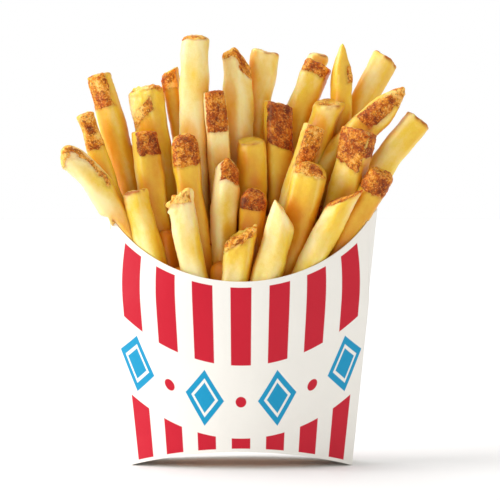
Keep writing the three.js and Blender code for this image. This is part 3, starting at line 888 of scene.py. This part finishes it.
class Look:
    """A material under construction."""

    def __init__(self, name):
        self.material = bpy.data.materials.new(name)
        self.material.use_nodes = True
        self.tree = self.material.node_tree
        self.shader = self.tree.nodes["Principled BSDF"]

    def node(self, kind, settings=None, sockets=None, out=0):
        """Adds a node of a kind: its settings first, with a ramp's stops among them, then its sockets."""
        made = self.tree.nodes.new(kind)
        for key, value in (settings or {}).items():
            if key == "stops":
                self.set_stops(made.color_ramp, value)
            else:
                setattr(made, key, value)
        for key, value in (sockets or {}).items():
            self.feed(made.inputs[key], value)
        return Wire(self, made.outputs[out])

    def set_stops(self, color_ramp, stops):
        """Gives a colour ramp its stops, each a position and a colour."""
        while len(color_ramp.elements) < len(stops):
            color_ramp.elements.new(1)
        for element, (position, colour) in zip(color_ramp.elements, stops):
            element.position = position
            element.color = colour

    def feed(self, socket, value):
        """Links a wire to a socket, or sets the socket to a plain value."""
        if isinstance(value, Wire):
            self.tree.links.new(value.socket, socket)
        else:
            socket.default_value = value

    def blend(self, factor, first, second, how="MIX"):
        """The second colour over the first by factor."""
        return self.node(
            "ShaderNodeMix", {"data_type": "RGBA", "blend_type": how, "clamp_factor": True},
            {0: factor, 6: first, 7: second}, out=2,
        )

    def attribute(self, name, vector=False):
        return self.node("ShaderNodeAttribute", {"attribute_name": name}, out="Vector" if vector else "Fac")

    def stretched(self, vector, scale):
        """A vector with its parts scaled, which draws a pattern out where the scale is below 1."""
        return self.node("ShaderNodeMapping", {}, {"Vector": vector, "Scale": scale})

    def noise(self, vector, scale, detail=3.0, rough=0.55, out="Fac"):
        return self.node(
            "ShaderNodeTexNoise", {},
            {"Vector": vector, "Scale": scale, "Detail": detail, "Roughness": rough}, out=out,
        )

    def bump(self, height, distance):
        return self.node("ShaderNodeBump", {}, {"Height": height, "Distance": distance})

    def colours(self, value, stops):
        """A colour for each value, between stops."""
        return self.node("ShaderNodeValToRGB", {"stops": stops}, {"Fac": value})

    def metres(self):
        return self.node("ShaderNodeTexCoord", out="Object")

    def finish(self, **sockets):
        """Fills the shader's sockets. A name's underscores stand for spaces."""
        for key, value in sockets.items():
            self.feed(self.shader.inputs[key.replace("_", " ")], value)
        return self.material


PALE_FRY = ink(255, 234, 172)
GOLDEN_FRY = ink(240, 203, 64)
DEEP_FRY = ink(222, 158, 24)
# Painted shade between fries, multiplied over their colour
CREVICE_SHADE_COLOUR = ink(252, 195, 110)
TOASTED = ink(176, 100, 14)
SKIN_PALE = ink(244, 204, 112)
SKIN_LIGHT = ink(226, 150, 34)
SKIN_BROWN = ink(190, 92, 2)
SKIN_DARK = ink(112, 42, 2)
SKIN_SPECK = ink(252, 200, 104)
# Painted highlight along the fries' ridges
PAINTED_RIDGE_HIGHLIGHT = ink(255, 238, 176)


# Noise scales on a fry, for each of its millimetres
CLOUDS = 0.12
MEAL = 0.7
GRAINS = 2.8
CRUMBS = 0.9
BLOTCHES = 0.22
SPOTS = 1.25
SPECKS = 1.6
SPOT_ROUGHNESS = 0.6


def skin_colour(look, own, roast, crumb, blotch, spots):
    """Brown skin: pale to dark with its roast, in blotches and crumbs, with dark spots and light specks."""
    brown = look.colours(roast * 0.6 + (crumb - 0.5) * 0.9 + (blotch - 0.5) * 1.2 + 0.2, [
        (0.14, SKIN_PALE), (0.36, SKIN_LIGHT), (0.62, SKIN_BROWN), (1.0, SKIN_DARK),
    ])
    cluster = (blotch - 0.5) * 0.4
    dark = (spots + cluster).step(0.53, 0.6)
    brown = look.blend(dark * (roast * 0.4 + 0.45).clamped(), brown, SKIN_DARK)
    specks = (look.noise(own, SPECKS, 2, SPOT_ROUGHNESS) - cluster).step(0.54, 0.62)
    return look.blend(specks * (0.9 - roast * 0.75), brown, SKIN_SPECK)


def flesh_colour(look, golden, toast, fine, skin_edge):
    """Bare potato: pale to golden, toasted at the rims and a little round each patch of skin."""
    flesh = look.colours(golden, [(0.0, PALE_FRY), (0.5, GOLDEN_FRY), (1.0, DEEP_FRY)])
    flesh = look.blend((toast * (0.55 + fine * 0.9)).clamped(), flesh, TOASTED)
    return look.blend(skin_edge.step(-1.6, -0.2) * 0.25, flesh, TOASTED)


def fried_potato():
    """Fried potato: pale to golden along the stick's own grain, toasted at the rims, with brown speckled
    skin. A painted highlight lightens its ridges, and painted shade makes it darker and more orange where
    fries stand close together and inside the heap."""
    look = Look("fried_potato")
    own = look.attribute("stick", vector=True)
    names = ("skin", "toast", "tone", "roast", "ridge", "crowd")
    skin, toast, tone, roast, ridge, crowd = (look.attribute(name) for name in names)

    broad = look.noise(look.stretched(own, (1, 1, 0.5)), CLOUDS, 2)
    fine = look.noise(look.stretched(own, (1, 1, 0.7)), MEAL, 4)
    grain = look.noise(own, GRAINS, 2)
    crumb = look.noise(own, CRUMBS, 3)
    blotch = look.noise(own, BLOTCHES, 2)
    spots = look.noise(own, SPOTS, 2, SPOT_ROUGHNESS)

    skin_edge = skin + (fine - 0.5) * 1.1 + (grain - 0.5) * 0.8
    covered = skin_edge.step(-0.3, 0.2)
    golden = tone + (broad - 0.5) * 0.75 + (fine - 0.5) * 0.3 + (grain - 0.5) * 0.16
    # Painted highlight makes ridges a little paler, and painted shade between fries makes them more golden
    golden = golden - ridge * 0.05 + crowd * 0.2
    flesh = flesh_colour(look, golden, toast, fine, skin_edge)
    brown = skin_colour(look, own, roast, crumb, blotch, spots)
    colour = look.blend(covered, flesh, brown)
    # Painted highlight along the ridges, broken up, kept out of the painted shade between fries and weaker
    # on skin
    ridge_highlight = ridge.step(0.82, 1.0) * broad.step(0.46, 0.58) * (1 - crowd) * (0.22 - covered * 0.16)
    colour = look.blend(ridge_highlight, colour, PAINTED_RIDGE_HIGHLIGHT)
    # Painted shade between fries and inside the heap: darker and more orange
    colour = look.blend(crowd * 0.6, colour, CREVICE_SHADE_COLOUR, "MULTIPLY")

    height = fine * 0.45 + grain * 0.35 + covered * (crumb * 0.8 + spots * 0.9 + 0.6)
    return look.finish(
        Base_Color=colour,
        Roughness=0.38 + (grain - 0.5) * 0.2 + covered * 0.2,
        Normal=look.bump(height, 0.26 * MM),
        Subsurface_Weight=0.6,
        Subsurface_Radius=(1.0, 0.5, 0.12),
        Subsurface_Scale=3.6 * MM,
        Specular_IOR_Level=0.26,
        Coat_Weight=(1 - covered) * 0.3,
        Coat_Roughness=0.3,
    )


PAPER_WHITE = ink(245, 242, 234)
PAPER_SHADE = ink(226, 222, 214)
CRIMSON = ink(200, 8, 40)
SKY_BLUE = ink(0, 150, 196)
CUT_CREAM = ink(246, 240, 226)
CUT_SHADE = ink(226, 212, 186)
INSIDE_CREAM = ink(238, 232, 220)
GREASE = ink(212, 192, 150)
TABLE_WHITE = ink(247, 246, 245)
TABLE_SHADE = ink(238, 237, 236)

# The print, in millimetres of board: stripes as an angle from a point below the carton, and the band
FAN_DEPTH = 394.0
FAN_PITCH = 0.0302
FAN_HALF_SHARE = 0.27
BAND_HEIGHT = 24.0
BAND_RISE = 0.0085
BAND_HALF = 13.0
LOZENGE_PITCH = 26.0
LOZENGE_HALF_WIDTH = 7.0
LOZENGE_HALF_HEIGHT = 10.0
LOZENGE_SLOPE = 5.0
SLIT_PLACE = 0.62
SLIT_HALF_WIDTH = 0.25
DOT_RADIUS = 1.9
PRINT_SOFTNESS = 0.12


def inked(distance):
    """1 where a distance into a printed form is positive and 0 where it is negative, with a soft edge."""
    return distance.step(-PRINT_SOFTNESS, PRINT_SOFTNESS)


def from_nearest(value, pitch):
    """How far a value is from the nearest whole number of pitches."""
    turns = value / pitch
    return (turns - turns.maths("ROUND")) * pitch


def printed_pattern(look):
    """Where the print is crimson and where it is blue: stripes that fan out from below the carton, cut by
    a hanging band that holds a row of lozenges with dots between them."""
    across = look.node("ShaderNodeSeparateXYZ", {}, {"Vector": look.attribute("print", vector=True)})
    up = Wire(look, across.socket.node.outputs["Y"])
    printed = inked(look.attribute("margin"))

    reach = up + FAN_DEPTH
    turn = across.maths("ARCTAN2", reach)
    radius = (across * across + reach * reach).maths("SQRT")
    stripe = inked((FAN_HALF_SHARE * FAN_PITCH - abs(from_nearest(turn, FAN_PITCH))) * radius)

    hang = up - (across * across * BAND_RISE + BAND_HEIGHT)
    outside_band = inked(abs(hang) - BAND_HALF)
    along = from_nearest(across + LOZENGE_PITCH / 2, LOZENGE_PITCH)
    spread = abs(along) / LOZENGE_HALF_WIDTH + abs(hang) / LOZENGE_HALF_HEIGHT
    lozenge = inked((1 - spread) * LOZENGE_SLOPE)
    slit = inked(abs(spread - SLIT_PLACE) * LOZENGE_SLOPE - (SLIT_HALF_WIDTH + PRINT_SOFTNESS))
    beside = from_nearest(across, LOZENGE_PITCH)
    dot = inked(DOT_RADIUS - (beside * beside + hang * hang).maths("SQRT"))
    crimson = (stripe * outside_band).most(dot) * printed
    blue = lozenge * slit * printed
    return crimson, blue


def printed_board():
    """The carton's outside: clay-coated white board with a satin varnish, printed in crimson and blue."""
    look = Look("printed_board")
    crimson, blue = printed_pattern(look)
    metres = look.metres()
    fibre = look.noise(metres, 900, 4, 0.6)
    cloud = look.noise(metres, 60, 3)
    paper = look.blend((cloud - 0.35) * 0.12, PAPER_WHITE, PAPER_SHADE)
    colour = look.blend(crimson, paper, CRIMSON)
    colour = look.blend(blue, colour, SKY_BLUE)
    varnished = crimson.most(blue)
    return look.finish(
        Base_Color=colour,
        Roughness=0.46 + (fibre - 0.5) * 0.12 - varnished * 0.06,
        Normal=look.bump(fibre * 0.35 + cloud * 1.6 + varnished * 0.08, 0.12 * MM),
        Specular_IOR_Level=0.3,
    )


def inside_board():
    """The carton's inside: uncoated board, with faint marks of oil."""
    look = Look("inside_board")
    metres = look.metres()
    fibre = look.noise(metres, 700, 4, 0.6)
    oil = look.noise(metres, 95, 4, 0.6).step(0.52, 0.66)
    return look.finish(
        Base_Color=look.blend(oil * 0.5, INSIDE_CREAM, GREASE),
        Roughness=0.75 - oil * 0.3,
        Normal=look.bump(fibre, 0.1 * MM),
    )


def cut_board():
    """The cut edge of the board: bare pulp between its two faces."""
    look = Look("cut_board")
    fibre = look.noise(look.metres(), 1500, 3, 0.6)
    return look.finish(
        Base_Color=look.blend(fibre * 0.5, CUT_CREAM, CUT_SHADE),
        Roughness=0.85 + (fibre - 0.5) * 0.1,
        Normal=look.bump(fibre, 0.08 * MM),
    )


def table_top():
    """A plain white table."""
    look = Look("table_top")
    grain = look.noise(look.metres(), 40, 2)
    return look.finish(
        Base_Color=look.blend(grain * 0.05, TABLE_WHITE, TABLE_SHADE),
        Roughness=0.55,
        Specular_IOR_Level=0.2,
    )


# Each fry's noise has a seed of its own
FIRST_FRY_SEED = 100
FIRST_FILLER_SEED = 300


def build_fries():
    """The fries as four pieces: those of the front two rows, of the third row and of the back, and the
    short ones packed between them over the core."""
    potato = fried_potato()
    pieces = {name: Shell() for name in ("fries_front", "fries_middle", "fries_back", "fries_packed")}
    fillers = filler_specs()
    places, owners = axis_points(FRIES + fillers)
    for index, spec in enumerate(FRIES):
        row = "fries_front" if index < MIDDLE_ROW else "fries_middle" if index < BACK_ROW else "fries_back"
        Stick(spec, FIRST_FRY_SEED + index, FRY_GRID).add_to(pieces[row], places[owners != index])
    for index, spec in enumerate(fillers):
        others = places[owners != len(FRIES) + index]
        Stick(spec, FIRST_FILLER_SEED + index, FILLER_GRID).add_to(pieces["fries_packed"], others)
    add_core(pieces["fries_packed"])
    for name, shell in pieces.items():
        made = shell.mesh_object(name)
        made.data.materials.append(potato)
        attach(made, "root")
        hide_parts("fries")


def build_carton():
    """The carton as one printed sheet of board."""
    made = carton_object()
    for material in (printed_board(), inside_board(), cut_board()):
        made.data.materials.append(material)
    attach(made, "root")
    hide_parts("carton")


# The table reaches from before the carton to well behind it, in metres
TABLE_HALF_WIDTH = 1.6
TABLE_FRONT = -1.2
TABLE_BACK = 2.2


def build_table():
    """A flat table under the carton, which is no part of it."""
    mesh = bpy.data.meshes.new("table")
    corners = [
        (-TABLE_HALF_WIDTH, TABLE_FRONT, 0), (TABLE_HALF_WIDTH, TABLE_FRONT, 0),
        (TABLE_HALF_WIDTH, TABLE_BACK, 0), (-TABLE_HALF_WIDTH, TABLE_BACK, 0),
    ]
    mesh.from_pydata(corners, [], [(0, 1, 2, 3)])
    mesh.materials.append(table_top())
    table = in_scene("table", mesh)


# The camera, in millimetres about the carton's middle. The photo is so many pixels wide, of so many
# millimetres each at that distance
CAMERA_TARGET = (3.2, 0.0, 76.8)
CAMERA_DISTANCE = 1150.0
CAMERA_ELEVATION = math.radians(2.8)
PHOTO_WIDTH = 500
PIXEL = 0.36
SENSOR = 36.0
CLIP_END = 20


def aim(thing, place, target):
    """Puts a camera or light at a place, looking along -Z at the target."""
    thing.location = place
    way = np.array(target) - np.array(place)
    thing.rotation_euler = (
        math.atan2(math.hypot(way[0], way[1]), -way[2]),
        0,
        math.atan2(way[1], way[0]) - math.pi / 2,
    )


def build_camera():
    """The camera, level with the middle of the heap and tipped down a little."""
    target = (np.array(CAMERA_TARGET) + HOME) * MM
    data = bpy.data.cameras.new("camera")
    data.sensor_width = SENSOR
    data.lens = SENSOR * CAMERA_DISTANCE / (PHOTO_WIDTH * PIXEL)
    data.clip_end = CLIP_END
    camera = in_scene("camera", data)
    back = CAMERA_DISTANCE * MM
    place = target + np.array([0, -back * math.cos(CAMERA_ELEVATION), back * math.sin(CAMERA_ELEVATION)])
    aim(camera, place, target)
    bpy.context.scene.camera = camera


def sun(name, side, front, height, strength, spread):
    """A broad even light from one direction, whose disc is so many degrees wide."""
    data = bpy.data.lights.new(name, "SUN")
    data.energy = strength
    data.angle = math.radians(spread)
    aim(in_scene(name, data), (side, -front, height), (0, 0, 0))


AMBIENT = 0.54
BACKDROP = 1.0


def build_light():
    """A strong light from the left, a weak one from the right, one from above and behind, and an even
    glow that is brighter where the camera sees it than where it lights things."""
    sun("key", side=-1.0, front=0.16, height=0.42, strength=2.8, spread=44)
    sun("fill", side=0.8, front=0.6, height=0.25, strength=0.4, spread=60)
    sun("overhead", side=-0.3, front=-0.42, height=1.0, strength=1.25, spread=46)

    world = bpy.data.worlds.new("studio")
    bpy.context.scene.world = world
    world.use_nodes = True
    tree = world.node_tree
    background = tree.nodes["Background"]
    background.inputs["Color"].default_value = (1, 1, 1, 1)
    seen = tree.nodes.new("ShaderNodeLightPath")
    strength = tree.nodes.new("ShaderNodeMapRange")
    strength.inputs["To Min"].default_value = AMBIENT
    strength.inputs["To Max"].default_value = BACKDROP
    tree.links.new(seen.outputs["Is Camera Ray"], strength.inputs["Value"])
    tree.links.new(strength.outputs["Result"], background.inputs["Strength"])


def set_colour_management():
    """Colours as they are, with no film curve."""
    view = bpy.context.scene.view_settings
    view.view_transform = "Standard"
    view.look = "None"


build_camera()
build_carton()
build_fries()
build_table()
build_light()
set_colour_management()
